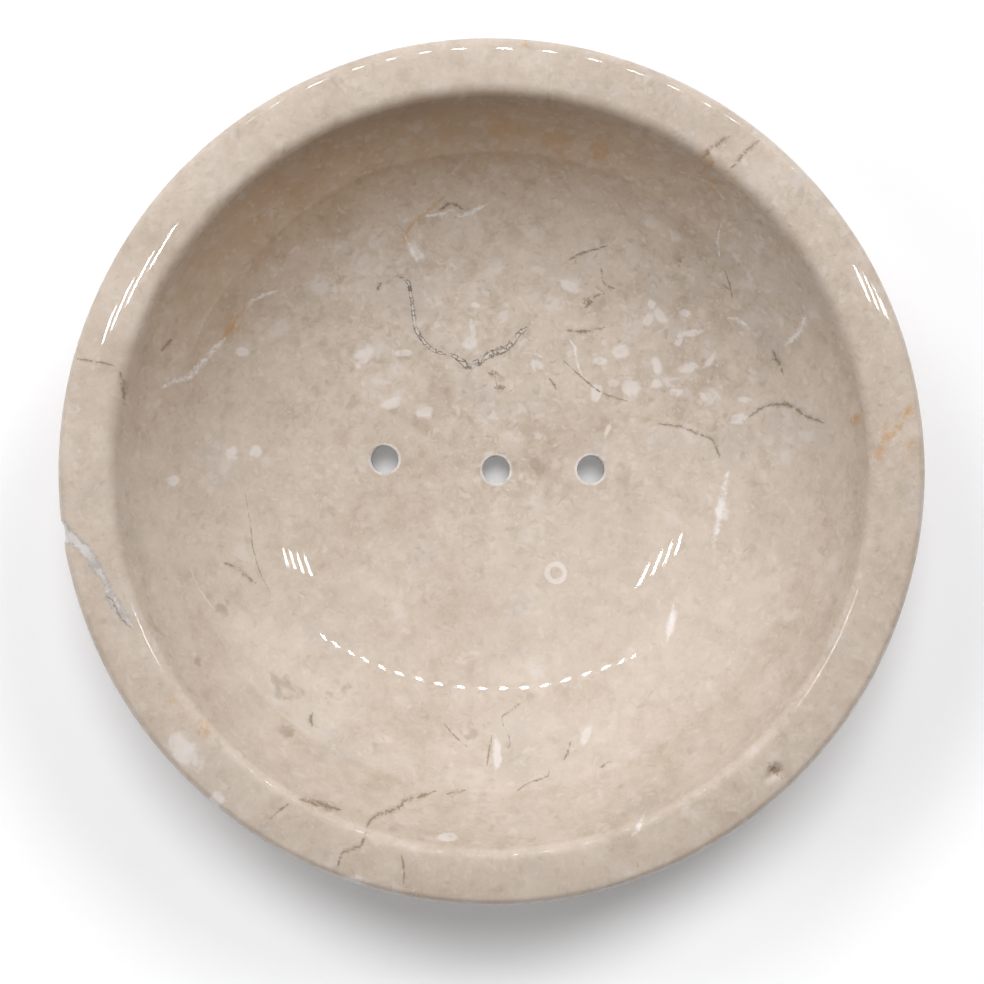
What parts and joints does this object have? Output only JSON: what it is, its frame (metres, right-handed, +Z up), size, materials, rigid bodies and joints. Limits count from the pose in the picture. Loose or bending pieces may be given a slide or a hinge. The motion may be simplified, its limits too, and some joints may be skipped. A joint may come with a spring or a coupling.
{
  "type": "soap dish",
  "caption": "Round soap dish turned from one block of polished cream stone: a shallow bowl with a crowned rim, drain holes through its floor and soft stick-on feet.",
  "frame": {"origin": "on the shelf, under the axis of the turned bowl, at the underside of the feet", "axes": "+Z up out of the bowl; +X along the row of drain holes; +Y to the top of the picture"},
  "size_m": [0.12, 0.12, 0.028],
  "materials": {
    "stone": "polished cream fossil limestone with thin veins, honed under the base",
    "foot_rubber": "soft satin, milky",
    "adhesive": "thin acrylic adhesive film"
  },
  "bodies": {
    "root": {"stone_bowl": "stone", "foot_back_right": "foot_rubber", "foot_adhesive_back_right": "adhesive", "foot_back_left": "foot_rubber", "foot_adhesive_back_left": "adhesive", "foot_front_left": "foot_rubber", "foot_adhesive_front_left": "adhesive", "foot_front_right": "foot_rubber", "foot_adhesive_front_right": "adhesive"}
  },
  "joints": []
}
